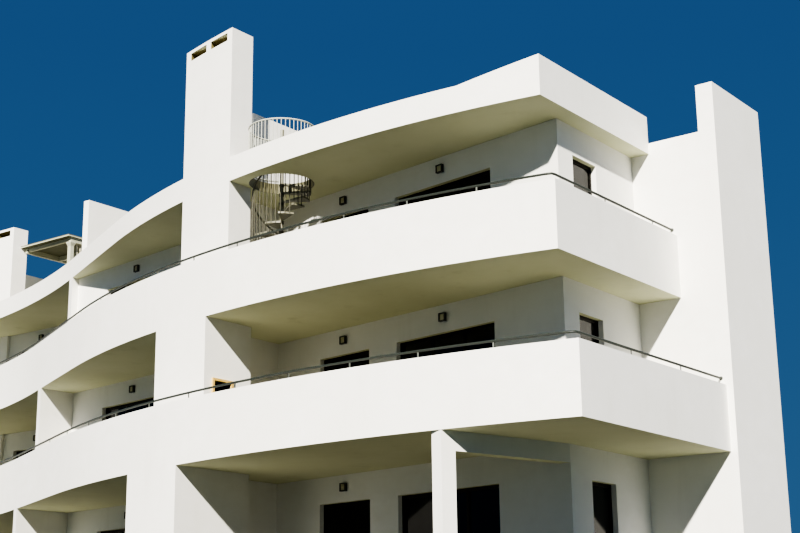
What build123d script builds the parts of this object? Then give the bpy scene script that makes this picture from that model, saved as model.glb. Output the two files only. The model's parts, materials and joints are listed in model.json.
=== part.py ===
import os
from math import acos, asin, atan2, cos, degrees, radians, sin, sqrt, tan

from build123d import *

os.makedirs("parts", exist_ok=True)

# Storeys, counted up from the ground floor
storeys = ["ground", "first", "second"]
storey_height = 3000
base_height = 300
slab_thickness = 220
wall_thickness = 250

# Plan of the wave: a bulging arc, a straight run, then a hollow arc
bulge_radius = 23610
bulge_front = -8330
hollow_radius = 24480
wave_straight = 3560
wave_angle = 24.6
# One value each for the ground, first, second and roof levels
bulge_middle = [8505, 8505, 7715, 8075]
set_back = [0, 0, 815, 1410]
band_right = [13025, 13025, 12225, 11725]

# Balcony parapets and the edge of the roof, which ramps up to the right-hand corner
parapet_thickness = 200
parapet_height = 1230
roof_edge_height = 515
roof_ramp_start = 10080
roof_ramp_rise = 260

# Plan of the three flats, from the right-hand gable to the left-hand end
gable_x = 11335
front_corner_y = -5430
front_angle = 8
right_party_x = 3565
right_party_thickness = 630
middle_party_x = -4400
left_end_x = -13155
left_front_y = 50
rear_y = [3730, 5030, 8330]

# Block at the right-hand end
block_right_x = 13155
block_front_y = -2570
block_rear_y = -420

# Chimney towers in front of the party walls, with two flue slots each; the piers under the
# right-hand one stand a little to its right
tower_width = 1750
right_tower_x = 4165
pier_shift = 80
right_tower_back_y = -5930
left_tower_x = -11325
left_tower_front_y = -50
left_tower_depth = 540
tower_top = 12520
flue_width = 620
flue_height = 175
flue_gap = 160
flue_cap = 70
flue_back = 150

# Walls that stand up through the roof: right, middle and left party walls, and the gable
fin_rise = [1820, 2030, 2000]
fin_thickness = 200
fin_x = [3565, -4525, -11925]
fin_front_y = [-5240, -2890, 640]
gable_fin_rise = 955
gable_fin_thickness = 350

# Sliding doors and windows; each flat has a wide and a narrow door, from the right-hand flat on
door_height = 2240
door_widths = [(2580, 1470), (2580, 1470), (2060, 1470)]
front_doors_x = [(8420, 5635), (-1785, 1420), (-9820, -6540)]
pane_width = 1320
gable_window_width = 860
gable_window_height = 1400
gable_window_head = 2210
gable_window_y = [-4280, -4470, -4470]
rear_window_width = 1400
rear_window_height = 1300
rear_window_sill = 980
rear_small_width = 700
rear_windows_x = [(9600, 7450, 5300), (1300, -800, -2900), (-6500, -8800, -11100)]
frame_width = 55
frame_depth = 70
frame_setback = 105
glass_thickness = 24

# Hearth in the side of the right-hand chimney pier
hearth_y = -6745
hearth_width = 480
hearth_height = 560
hearth_head = 1530
hearth_depth = 500
hearth_frame_width = 50
hearth_frame_depth = 40

# Corner pier and beam under the first balcony
corner_pier_x = 10605
corner_pier_width = 240
corner_pier_depth = 300
corner_beam_depth = 325

# Handrails on the parapets
rail_diameter = 34
rail_height = 130
rail_post_width = 30
rail_post_thickness = 10
rail_post_spacing = 1415
rail_return_spacing = 1800
rail_bend_spacing = 1000

# Spiral stair from the second balcony to the roof
stair_x = 4870
stair_y = -5740
stair_radius = 640
stair_pole_diameter = 80
stair_risers = 15
tread_turn = 27
tread_angle = 32
tread_thickness = 40
tread_margin = 45
stair_start = 62
baluster_diameter = 18
balusters_per_tread = 3
stair_rail_diameter = 36
stair_rail_height = 1090
well_margin = 40
well_rail_height = 970
well_railing_start = 135
well_railing_turn = 300
well_panels = 6
well_panel_balusters = 7
well_foot_gap = 60

# Pergola on the roof terrace of the left-hand flat
pergola_right_x = -9080
pergola_front_y = 330
pergola_depth = 2700
pergola_clear_height = 2450
pergola_post = 180
pergola_capital = 290
pergola_capital_height = 130
pergola_beam_width = 120
pergola_beam_depth = 150
pergola_roof_thickness = 60
pergola_roof_overhang = 90
slat_width = 70
slat_thickness = 25
slat_gap = 70

# Square lamps over the sliding doors
lamp_size = 165
lamp_depth = 70
lamp_drop = 250

# Heights and faces that follow from the sizes above
roof_level = len(storeys)
clear_height = storey_height - slab_thickness
wall_in_plan = wall_thickness / cos(radians(front_angle))
gable_inner_x = gable_x - wall_thickness
right_party_left_x = right_party_x - right_party_thickness
middle_party_left_x = middle_party_x - wall_thickness
left_tower_back_y = left_tower_front_y + left_tower_depth
left_end_inner_x = left_end_x + wall_thickness
far = 4 * rear_y[2]


def floor_top(level):
    return base_height + level * storey_height


def soffit(level):
    return floor_top(level) - slab_thickness


def front_y(x):
    return front_corner_y + (gable_x - x) * tan(radians(front_angle))


# Front of one level's bulging arc at a place along it
def bulge_y(level, x):
    radius = bulge_radius - set_back[level]
    return bulge_front + bulge_radius - sqrt(radius**2 - (x - bulge_middle[level]) ** 2)


roof_top = floor_top(roof_level)


# Edge of one level's wave in plan, moved back by an inset; gives its right and left ends
def wave(level, inset, x_right):
    angle = radians(wave_angle)
    radius = bulge_radius - set_back[level] - inset
    middle = Vector(bulge_middle[level], bulge_front + bulge_radius)
    right_turn = degrees(asin((x_right - middle.X) / radius))
    bulge = CenterArc(middle, radius, 270 - wave_angle, wave_angle + right_turn)
    run = Line(bulge @ 0, (bulge @ 0) + Vector(-cos(angle), sin(angle)) * wave_straight)
    hollow = hollow_radius + set_back[level] + inset
    centre = (run @ 1) - Vector(sin(angle), cos(angle)) * hollow
    left_turn = degrees(acos((left_end_x - centre.X) / hollow))
    tail = CenterArc(centre, hollow, 90 - wave_angle, left_turn - 90 + wave_angle)
    return bulge @ 1, tail @ 1


# Ground behind a level's wave, between two x and in front of a back line
def behind_wave(level, x_left, x_right, back_y):
    with BuildLine() as outline:
        right, left = wave(level, 0, band_right[level])
        Polyline(left, (left_end_x, rear_y[2]), (band_right[level], rear_y[2]), right)
    make_face(outline.edges())
    with Locations(((x_left + x_right) / 2, back_y)):
        Rectangle(x_right - x_left, far, align=(Align.CENTER, Align.MAX), mode=Mode.INTERSECT)


# Plan of the right-hand chimney, its front flush with the wave of the level above
def right_tower_plan(level, right_x=right_tower_x):
    behind_wave(level, right_x - tower_width, right_x, right_tower_back_y)


def left_tower_plan():
    with Locations((left_tower_x, left_tower_front_y)):
        Rectangle(tower_width, left_tower_depth, align=(Align.MAX, Align.MIN))


# Rectangle in plan from its left, right, front and back
def plan_rectangle(x_left, x_right, y_front, y_back, mode=Mode.ADD):
    with Locations((x_left, y_front)):
        Rectangle(x_right - x_left, y_back - y_front, align=(Align.MIN, Align.MIN), mode=mode)


def save(piece, name):
    piece.part.label = name
    export_step(piece.part, f"parts/{name}.step")


# Openings of one storey, each a plane at the foot of the opening on the wall's outer face
def front_openings(level):
    base = floor_top(level)
    slope = radians(front_angle)
    found = []
    for flat, doors_x in enumerate(front_doors_x):
        for x, width in zip(doors_x, door_widths[flat]):
            along = (1, 0, 0) if flat == 2 else (cos(slope), -sin(slope), 0)
            outward = (0, -1, 0) if flat == 2 else (-sin(slope), -cos(slope), 0)
            y = left_front_y if flat == 2 else front_y(x)
            found.append((Plane((x, y, base), x_dir=along, z_dir=outward), width, door_height))
    return found


def rear_openings(level):
    base = floor_top(level) + rear_window_sill
    widths = (rear_window_width, rear_small_width, rear_window_width)
    return [
        (Plane((x, y, base), x_dir=(-1, 0, 0), z_dir=(0, 1, 0)), width, rear_window_height)
        for row, y in zip(rear_windows_x, rear_y)
        for x, width in zip(row, widths)
    ]


def gable_openings(level):
    base = floor_top(level) + gable_window_head - gable_window_height
    at = Plane((gable_x, gable_window_y[level], base), x_dir=(0, 1, 0), z_dir=(1, 0, 0))
    return [(at, gable_window_width, gable_window_height)]


def cut_openings(openings):
    for at, width, height in openings:
        with BuildSketch(at) as opening:
            Rectangle(width, height, align=(Align.CENTER, Align.MIN))
        extrude(opening.sketch, amount=2 * wall_thickness, both=True, mode=Mode.SUBTRACT)


# Floor plates, stepped at the back with the flats
plate_names = ["ground_slab", "first_floor_slab", "second_floor_slab", "roof_slab"]
for level, name in enumerate(plate_names):
    thickness = slab_thickness if level else base_height
    inset = parapet_thickness if level else 0
    edge_x = band_right[level] - inset
    with BuildPart() as plate:
        with BuildSketch(Plane.XY.offset(floor_top(level) - thickness)):
            with BuildLine():
                right, left = wave(level, inset, edge_x)
                Polyline(
                    left,
                    (left_end_x, rear_y[2]),
                    (middle_party_x, rear_y[2]),
                    (middle_party_x, rear_y[1]),
                    (right_party_x, rear_y[1]),
                    (right_party_x, rear_y[0]),
                    (gable_x, rear_y[0]),
                    (gable_x, block_rear_y),
                    (block_right_x, block_rear_y),
                    (block_right_x, block_front_y),
                    (edge_x, block_front_y),
                    right,
                )
            make_face()
        extrude(amount=thickness)
        if level == roof_level:
            with BuildSketch(Plane.XY.offset(soffit(level))):
                right_tower_plan(level)
                left_tower_plan()
                with Locations((stair_x, stair_y)):
                    Circle(stair_radius + well_margin)
            extrude(amount=slab_thickness, mode=Mode.SUBTRACT)
    save(plate, name)

# Curved parapets of the two balconies and the edge of the roof, returned along the gable
parapet_names = {1: "first_parapet", 2: "second_parapet", 3: "roof_parapet"}
for level, name in parapet_names.items():
    is_roof = level == roof_level
    height = roof_edge_height + roof_ramp_rise if is_roof else parapet_height
    outer_x = band_right[level]
    inner_x = outer_x - parapet_thickness
    with BuildPart() as parapet:
        with BuildSketch(Plane.XY.offset(soffit(level))):
            with BuildLine():
                right, left = wave(level, 0, outer_x)
                inner_right, inner_left = wave(level, parapet_thickness, inner_x)
                Line(left, inner_left)
                Polyline(right, (outer_x, block_front_y), (inner_x, block_front_y), inner_right)
            make_face()
        extrude(amount=height)
        if is_roof:
            edge_top = soffit(level) + roof_edge_height
            with BuildSketch(Plane((0, 0, 0), x_dir=(1, 0, 0), z_dir=(0, -1, 0))):
                with BuildLine():
                    Polyline(
                        (left_end_x, edge_top),
                        (roof_ramp_start, edge_top),
                        (outer_x, edge_top + roof_ramp_rise),
                        (outer_x, edge_top + 2 * roof_ramp_rise),
                        (left_end_x, edge_top + 2 * roof_ramp_rise),
                        close=True,
                    )
                make_face()
            extrude(amount=far, both=True, mode=Mode.SUBTRACT)
            with BuildSketch(Plane.XY.offset(soffit(level))):
                right_tower_plan(level)
            extrude(amount=height, mode=Mode.SUBTRACT)
    save(parapet, name)

for level, storey in enumerate(storeys):
    base = Plane.XY.offset(floor_top(level))

    # Front walls, one to a flat, with their sliding doors cut through
    with BuildPart() as front_walls:
        with BuildSketch(base):
            for x_left, x_right in (
                (right_party_x, gable_x),
                (middle_party_x, right_party_left_x),
            ):
                with BuildLine():
                    Polyline(
                        (x_left, front_y(x_left)),
                        (x_right, front_y(x_right)),
                        (x_right, front_y(x_right) + wall_in_plan),
                        (x_left, front_y(x_left) + wall_in_plan),
                        close=True,
                    )
                make_face()
            plan_rectangle(
                left_tower_x, middle_party_left_x, left_front_y, left_front_y + wall_thickness
            )
        extrude(amount=clear_height)
        cut_openings(front_openings(level))
    save(front_walls, f"front_walls_{storey}")

    # Rear walls, one to a flat
    with BuildPart() as rear_walls:
        with BuildSketch(base):
            for x_left, x_right, y in (
                (right_party_x, gable_x, rear_y[0]),
                (middle_party_x, right_party_left_x, rear_y[1]),
                (left_end_inner_x, middle_party_left_x, rear_y[2]),
            ):
                plan_rectangle(x_left, x_right, y - wall_thickness, y)
        extrude(amount=clear_height)
        cut_openings(rear_openings(level))
    save(rear_walls, f"rear_walls_{storey}")

    # Party walls: the middle one and the left-hand end come forward to the wave as fins
    with BuildPart() as party_walls:
        with BuildSketch(base):
            behind_wave(level + 1, middle_party_left_x, middle_party_x, rear_y[2])
        extrude(amount=clear_height)
        with BuildSketch(base):
            behind_wave(level + 1, left_end_x, left_end_inner_x, left_tower_front_y)
        extrude(amount=clear_height)
        with BuildSketch(base):
            plan_rectangle(right_party_left_x, right_party_x, right_tower_back_y, rear_y[1])
            plan_rectangle(left_end_x, left_end_inner_x, left_tower_back_y, rear_y[2])
        extrude(amount=clear_height)
    save(party_walls, f"party_walls_{storey}")

    # Gable wall, in front of and behind the end block
    with BuildPart() as gable_walls:
        with BuildSketch(base):
            with BuildLine():
                Polyline(
                    (gable_inner_x, front_y(gable_inner_x) + wall_in_plan),
                    (gable_x, front_y(gable_x) + wall_in_plan),
                    (gable_x, block_front_y),
                    (gable_inner_x, block_front_y),
                    close=True,
                )
            make_face()
            plan_rectangle(gable_inner_x, gable_x, block_rear_y, rear_y[0] - wall_thickness)
        extrude(amount=clear_height)
        cut_openings(gable_openings(level))
    save(gable_walls, f"gable_walls_{storey}")

    # Three walls of the end block, open to the flat
    with BuildPart() as end_block:
        with BuildSketch(base):
            plan_rectangle(gable_inner_x, block_right_x, block_front_y, block_rear_y)
            plan_rectangle(
                gable_inner_x,
                block_right_x - wall_thickness,
                block_front_y + wall_thickness,
                block_rear_y - wall_thickness,
                mode=Mode.SUBTRACT,
            )
        extrude(amount=clear_height)
    save(end_block, f"end_block_{storey}")

    # Frames of every opening of the storey, each with upright bars between its panes
    openings = front_openings(level) + rear_openings(level) + gable_openings(level)
    with BuildPart() as frames:
        for at, width, height in openings:
            panes = max(1, round(width / pane_width) + (height == door_height))
            pitch = (width - frame_width) / panes
            with BuildSketch(at.offset(-frame_setback)):
                Rectangle(width, height, align=(Align.CENTER, Align.MIN))
                with Locations((0, height / 2)):
                    with GridLocations(pitch, 0, panes, 1):
                        Rectangle(
                            pitch - frame_width, height - 2 * frame_width, mode=Mode.SUBTRACT
                        )
            extrude(amount=-frame_depth)
    save(frames, f"window_frames_{storey}")

    # Glass in the same frames, one sheet to a pane
    with BuildPart() as glass:
        for at, width, height in openings:
            panes = max(1, round(width / pane_width) + (height == door_height))
            pitch = (width - frame_width) / panes
            glass_setback = frame_setback + (frame_depth - glass_thickness) / 2
            with BuildSketch(at.offset(-glass_setback)):
                with Locations((0, height / 2)):
                    with GridLocations(pitch, 0, panes, 1):
                        Rectangle(pitch - frame_width, height - 2 * frame_width)
            extrude(amount=-glass_thickness)
    save(glass, f"window_glass_{storey}")

# Square lamps, one over each front door
with BuildPart() as lamps:
    for level in range(roof_level):
        for at, width, height in front_openings(level):
            with BuildSketch(at):
                with Locations((0, clear_height - lamp_drop)):
                    Rectangle(lamp_size, lamp_size)
            extrude(amount=lamp_depth)
save(lamps, "wall_lamps")

# Chimney piers on the two lower storeys, the right-hand one with a hearth on the first floor
for level, name in enumerate(["chimney_piers_ground", "chimney_piers_first"]):
    with BuildPart() as piers:
        with BuildSketch(Plane.XY.offset(floor_top(level))):
            right_tower_plan(level + 1, right_tower_x + pier_shift)
            left_tower_plan()
        extrude(amount=clear_height)
        if level == 1:
            hearth_foot = floor_top(level) + hearth_head - hearth_height
            hearth_at = Plane(
                (right_tower_x + pier_shift, hearth_y, hearth_foot),
                x_dir=(0, 1, 0),
                z_dir=(1, 0, 0),
            )
            with BuildSketch(hearth_at):
                Rectangle(hearth_width, hearth_height, align=(Align.CENTER, Align.MIN))
            extrude(amount=-hearth_depth, mode=Mode.SUBTRACT)
    save(piers, name)

with BuildPart() as hearth_frame:
    with BuildSketch(hearth_at):
        with Locations((0, hearth_height / 2)):
            Rectangle(hearth_width + 2 * hearth_frame_width, hearth_height + 2 * hearth_frame_width)
            Rectangle(hearth_width, hearth_height, mode=Mode.SUBTRACT)
    extrude(amount=hearth_frame_depth)
save(hearth_frame, "hearth_frame")

# Chimney towers, from the second floor up through the roof, two flue slots in each front
with BuildPart() as towers:
    with BuildSketch(Plane.XY.offset(floor_top(2))):
        right_tower_plan(roof_level)
        left_tower_plan()
    extrude(amount=tower_top - floor_top(2))
    for right_x, back_y in (
        (right_tower_x, right_tower_back_y),
        (left_tower_x, left_tower_back_y),
    ):
        flue_z = tower_top - flue_cap - flue_height / 2
        flue_middle = (right_x - tower_width / 2, back_y - flue_back, flue_z)
        with BuildSketch(Plane(flue_middle, x_dir=(1, 0, 0), z_dir=(0, -1, 0))):
            with GridLocations(flue_width + flue_gap, 0, 2, 1):
                Rectangle(flue_width, flue_height)
        extrude(amount=tower_width, mode=Mode.SUBTRACT)
save(towers, "chimney_towers")

# Fins where the party walls and the gable stand up through the roof
with BuildPart() as roof_fins:
    fin_rear_y = (rear_y[1], rear_y[2], rear_y[2])
    for right_x, front, back, rise in zip(fin_x, fin_front_y, fin_rear_y, fin_rise):
        with BuildSketch(Plane.XY.offset(roof_top)):
            plan_rectangle(right_x - fin_thickness, right_x, front, back)
        extrude(amount=rise)
    with BuildSketch(Plane.XY.offset(roof_top)):
        fin_left_x = block_right_x - gable_fin_thickness
        plan_rectangle(fin_left_x, block_right_x, block_front_y, block_rear_y)
    extrude(amount=gable_fin_rise)
save(roof_fins, "roof_fins")

# Pier under the corner of the first balcony, and the beam from it to the corner of the walls
corner_pier_y = bulge_y(1, corner_pier_x)
beam_run = Vector(gable_x, front_corner_y) - Vector(corner_pier_x, corner_pier_y)
beam_turn = degrees(atan2(beam_run.Y, beam_run.X))
with BuildPart() as corner_pier:
    with BuildSketch(Plane.XY.offset(floor_top(0))):
        with Locations(Location((corner_pier_x, corner_pier_y), beam_turn)):
            Rectangle(corner_pier_depth, corner_pier_width, align=(Align.MIN, Align.MIN))
    extrude(amount=clear_height - corner_beam_depth)
save(corner_pier, "corner_pier")

with BuildPart() as corner_beam:
    with BuildSketch(Plane.XY.offset(soffit(1) - corner_beam_depth)):
        with Locations(Location((corner_pier_x, corner_pier_y), beam_turn)):
            Rectangle(beam_run.length, corner_pier_width, align=(Align.MIN, Align.MIN))
        with Locations(Location((gable_x, front_corner_y), -front_angle)):
            Rectangle(far, far, align=(Align.CENTER, Align.MIN), mode=Mode.SUBTRACT)
    extrude(amount=corner_beam_depth)
save(corner_beam, "corner_beam")

# Handrails on short posts along the two parapets, round the corner to the end block
for level, name in {1: "first_handrail", 2: "second_handrail"}.items():
    parapet_top = soffit(level) + parapet_height
    middle_x = band_right[level] - parapet_thickness / 2
    with BuildLine() as wave_plan:
        wave(level, parapet_thickness / 2, middle_x)
    wave_wire = wave_plan.wires()[0]
    tubes = round(wave_wire.length / rail_bend_spacing)
    bends = sorted((wave_wire @ (n / tubes) for n in range(tubes + 1)), key=lambda at: at.X)
    with BuildLine() as rail_plan:
        Polyline(*bends, (middle_x, block_front_y))
    rail_wire = rail_plan.wires()[0].moved(Location((0, 0, parapet_top + rail_height)))
    with BuildPart() as handrail:
        with BuildSketch(Plane(rail_wire @ 0, z_dir=rail_wire % 0)):
            RegularPolygon(rail_diameter / 2, 8)
        sweep(path=rail_wire, transition=Transition.RIGHT)
        return_run = block_front_y - bends[-1].Y
        wave_run = rail_wire.length - return_run
        spots = [
            wave_run - rail_post_spacing * post
            for post in range(1, int(wave_run / rail_post_spacing) + 1)
        ]
        spots += [
            wave_run + rail_return_spacing * post
            for post in range(1, int(return_run / rail_return_spacing) + 1)
        ]
        for spot in spots:
            at = spot / rail_wire.length
            foot = rail_wire @ at - Vector(0, 0, rail_height)
            with BuildSketch(Plane(foot, x_dir=rail_wire % at, z_dir=(0, 0, 1))):
                Rectangle(rail_post_width, rail_post_thickness)
            extrude(amount=rail_height)
    save(handrail, name)

# Spiral stair: a pole, wedge-shaped treads, and balusters under a winding handrail
stair_foot = floor_top(2)
riser = (roof_top - stair_foot) / stair_risers
with BuildPart() as stair_pole:
    with BuildSketch(Plane((stair_x, stair_y, stair_foot))):
        RegularPolygon(stair_pole_diameter / 2, 16)
    extrude(amount=roof_top - stair_foot + well_rail_height)
save(stair_pole, "stair_pole")

with BuildPart() as stair_treads:
    for step in range(1, stair_risers):
        turn = stair_start + (step - 1) * tread_turn
        tread_top = stair_foot + step * riser
        with BuildSketch(Plane((stair_x, stair_y, tread_top - tread_thickness))):
            with BuildLine():
                arc = CenterArc((0, 0), stair_radius - tread_margin, turn, tread_angle)
                Line((0, 0), arc @ 0)
                Line(arc @ 1, (0, 0))
            make_face()
            RegularPolygon(stair_pole_diameter / 2, 16, mode=Mode.SUBTRACT)
        extrude(amount=tread_thickness)
save(stair_treads, "stair_treads")


def round_stair(radius, turn, height):
    angle = radians(turn)
    return Vector(stair_x + radius * cos(angle), stair_y + radius * sin(angle), height)


baluster_radius = stair_radius - tread_margin + baluster_diameter / 2
baluster_count = balusters_per_tread * (stair_risers - 1)
with BuildPart() as stair_railing:
    tops = []
    for index in range(baluster_count):
        step = index // balusters_per_tread + 1
        share = (index % balusters_per_tread + 0.5) / balusters_per_tread
        turn = stair_start + (step - 1 + share) * tread_turn
        foot = stair_foot + step * riser - tread_thickness
        top = stair_foot + (step + share) * riser + stair_rail_height
        with BuildSketch(Plane(round_stair(baluster_radius, turn, foot))):
            RegularPolygon(baluster_diameter / 2, 4)
        extrude(amount=top - foot)
        tops.append(round_stair(baluster_radius, turn, top))
    with BuildLine() as stair_rail:
        Polyline(*tops)
    rail_wire = stair_rail.wires()[0]
    with BuildSketch(Plane(rail_wire @ 0, z_dir=rail_wire % 0)):
        RegularPolygon(stair_rail_diameter / 2, 6)
    sweep(path=rail_wire, transition=Transition.RIGHT)
save(stair_railing, "stair_railing")

# Railing round the stair well on the roof, in panels, open where the stair arrives
well_rail_radius = stair_radius + well_margin + baluster_diameter
panel_turn = well_railing_turn / well_panels
with BuildPart() as well_railing:
    for panel in range(well_panels):
        feet = [
            round_stair(
                well_rail_radius,
                well_railing_start + (panel + (index + 0.5) / well_panel_balusters) * panel_turn,
                roof_top,
            )
            for index in range(well_panel_balusters)
        ]
        for foot in feet:
            with BuildSketch(Plane(foot)):
                RegularPolygon(baluster_diameter / 2, 4)
            extrude(amount=well_rail_height)
        for height in (well_foot_gap, well_rail_height):
            with BuildLine() as rail_line:
                Polyline(*[foot + Vector(0, 0, height) for foot in feet])
            rail_wire = rail_line.wires()[0]
            with BuildSketch(Plane(rail_wire @ 0, z_dir=rail_wire % 0)):
                RegularPolygon(stair_rail_diameter / 2, 6)
            sweep(path=rail_wire, transition=Transition.RIGHT)
save(well_railing, "well_railing")

# Pergola against the left-hand tower, which carries one corner: posts with square capitals
# at the other three, beams, a thin roof and a side screen of slats
pergola_x = (left_tower_x + pergola_right_x) / 2
pergola_y = pergola_front_y + pergola_depth / 2
pergola_width = pergola_right_x - left_tower_x
post_pitch = (pergola_width - pergola_capital, pergola_depth - pergola_capital)
post_places = [
    (side * post_pitch[0] / 2, end * post_pitch[1] / 2)
    for side, end in ((1, -1), (1, 1), (-1, 1))
]
with BuildPart() as pergola_frame:
    with BuildSketch(Plane((pergola_x, pergola_y, roof_top))):
        with Locations(*post_places):
            Rectangle(pergola_post, pergola_post)
    extrude(amount=pergola_clear_height)
    capital_foot = roof_top + pergola_clear_height - pergola_capital_height
    with BuildSketch(Plane((pergola_x, pergola_y, capital_foot))):
        with Locations(*post_places):
            Rectangle(pergola_capital, pergola_capital)
    extrude(amount=pergola_capital_height)
    with BuildSketch(Plane((pergola_x, pergola_y, roof_top + pergola_clear_height))):
        with GridLocations(post_pitch[0] / 2, 0, 3, 1):
            Rectangle(pergola_beam_width, pergola_depth)
        with GridLocations(0, post_pitch[1] / 2, 1, 3):
            Rectangle(pergola_width, pergola_beam_width)
    extrude(amount=pergola_beam_depth)
save(pergola_frame, "pergola_frame")

pergola_roof_foot = roof_top + pergola_clear_height + pergola_beam_depth
with BuildPart() as pergola_roof:
    with BuildSketch(Plane((pergola_x, pergola_y, pergola_roof_foot))):
        Rectangle(pergola_width, pergola_depth + 2 * pergola_roof_overhang)
    extrude(amount=pergola_roof_thickness)
save(pergola_roof, "pergola_roof")

slat_run = post_pitch[1] - pergola_capital
slat_count = int(slat_run / (slat_width + slat_gap))
with BuildPart() as pergola_slats:
    slat_x = pergola_x + post_pitch[0] / 2
    with BuildSketch(Plane((slat_x, pergola_y, roof_top))):
        with GridLocations(0, slat_width + slat_gap, 1, slat_count):
            Rectangle(slat_thickness, slat_width)
    extrude(amount=pergola_clear_height)
save(pergola_slats, "pergola_slats")
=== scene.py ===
import json
import math

import bmesh
import bpy
from mathutils import Matrix, Vector


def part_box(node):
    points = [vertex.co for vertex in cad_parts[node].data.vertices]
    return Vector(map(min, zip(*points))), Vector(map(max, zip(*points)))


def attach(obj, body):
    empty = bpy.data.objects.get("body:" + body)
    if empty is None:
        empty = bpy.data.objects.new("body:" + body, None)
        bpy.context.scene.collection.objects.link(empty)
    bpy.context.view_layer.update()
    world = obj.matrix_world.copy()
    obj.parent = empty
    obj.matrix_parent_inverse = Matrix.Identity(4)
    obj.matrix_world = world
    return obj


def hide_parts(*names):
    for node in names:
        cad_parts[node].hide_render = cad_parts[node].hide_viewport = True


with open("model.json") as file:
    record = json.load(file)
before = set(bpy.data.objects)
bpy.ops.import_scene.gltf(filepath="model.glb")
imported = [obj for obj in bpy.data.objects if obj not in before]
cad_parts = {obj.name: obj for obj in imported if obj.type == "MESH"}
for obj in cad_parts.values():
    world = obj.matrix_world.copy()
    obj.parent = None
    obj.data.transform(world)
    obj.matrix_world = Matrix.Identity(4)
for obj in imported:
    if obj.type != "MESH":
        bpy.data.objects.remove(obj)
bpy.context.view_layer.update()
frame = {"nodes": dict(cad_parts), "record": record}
nodes = frame["nodes"]
scene = bpy.context.scene
print("stage: frame loaded")

storeyNames = ("ground", "first", "second")
storeyHeight = 3.0
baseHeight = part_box("ground_slab")[1].z
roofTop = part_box("roof_slab")[1].z


# one colour of a finish, from its sRGB hex to linear
def toLinear(hexColour):
    shares = [int(hexColour[i : i + 2], 16) / 255 for i in (1, 3, 5)]
    return tuple(s / 12.92 if s <= 0.04045 else ((s + 0.055) / 1.055) ** 2.4 for s in shares) + (1,)


# one shader node with its settings, and for each socket a value, a hex colour or a link
def addNode(tree, kind, settings=None, sockets=None):
    made = tree.nodes.new("ShaderNode" + kind)
    for name, value in (settings or {}).items():
        setattr(made, name, value)
    for name, value in (sockets or {}).items():
        if isinstance(value, bpy.types.NodeSocket):
            tree.links.new(value, made.inputs[name])
        else:
            made.inputs[name].default_value = toLinear(value) if isinstance(value, str) else value
    return made


# metals are given no IOR and keep the default one
def newMaterial(name, roughness, metallic=0.0, ior=None):
    material = bpy.data.materials.new(name)
    material.use_nodes = True
    tree = material.node_tree
    shader = tree.nodes["Principled BSDF"]
    shader.inputs["Roughness"].default_value = roughness
    shader.inputs["Metallic"].default_value = metallic
    if ior:
        shader.inputs["IOR"].default_value = ior
    place = addNode(tree, "TexCoord").outputs["Object"]
    return material, tree, shader, place


# patches of a real size in millimetres: how much of them shows, and only within a mask if given
def marks(tree, place, size, detail, limits=(0, 1), shown=(0, 1), stretch=(1, 1, 1), within=None):
    scale = [1000 / (size * s) for s in stretch]
    scaled = addNode(tree, "Mapping", sockets={"Scale": scale, "Vector": place}).outputs["Vector"]
    grain = {"Scale": 1, "Detail": detail, "Roughness": 0.6, "Vector": scaled}
    reach = {
        "Value": addNode(tree, "TexNoise", sockets=grain).outputs["Fac"],
        "From Min": limits[0],
        "From Max": limits[1],
        "To Min": shown[0],
        "To Max": shown[1],
    }
    share = addNode(tree, "MapRange", sockets=reach).outputs["Result"]
    if within is None:
        return share
    return addNode(tree, "Math", {"operation": "MULTIPLY"}, {0: share, 1: within}).outputs["Value"]


# how far a face looks up or down, between two limits of its normal's height
def facing(tree, low, high):
    normal = addNode(tree, "NewGeometry").outputs["Normal"]
    upright = addNode(tree, "SeparateXYZ", sockets={"Vector": normal}).outputs["Z"]
    reach = {"Value": upright, "From Min": low, "From Max": high}
    return addNode(tree, "MapRange", sockets=reach).outputs["Result"]


colourMix = {"data_type": "RGBA"}  # its sockets are 0 the share, 6 and 7 the two colours


# masonry paint in the open: white, with float marks a forearm long and thin grey runs from rain
def wallTone(tree, place):
    patches = marks(tree, place, 1900, 3, (0.35, 0.65))
    fading = {"Value": patches, "To Min": 0.5, "To Max": 0.1}
    calm = addNode(tree, "MapRange", sockets=fading).outputs["Result"]
    floats = marks(tree, place, 420, 5, (0.3, 0.7), stretch=(1, 1, 0.6), within=calm)
    runs = marks(tree, place, 240, 6, (0.54, 0.8), (0, 0.14), (1, 1, 9), patches)
    tone = "#F1F0EC"
    for share, coat in ((patches, "#EBEAE4"), (floats, "#E4E2DA"), (runs, "#B9B6A8")):
        tone = addNode(tree, "Mix", colourMix, {0: share, 6: tone, 7: coat}).outputs[2]
    return tone


# the same paint on faces that look down, under balconies and roof edges: tinted yellow-green as painted
# shade, and blotched
def soffitShadeTint(tree, place):
    patches = marks(tree, place, 2300, 4, (0.3, 0.7))
    blotches = marks(tree, place, 700, 6, (0.6, 0.85), within=patches)
    tone = "#D8DABC"
    for share, coat in ((patches, "#CDCFAC"), (blotches, "#AEAF86")):
        tone = addNode(tree, "Mix", colourMix, {0: share, 6: tone, 7: coat}).outputs[2]
    return tone


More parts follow.
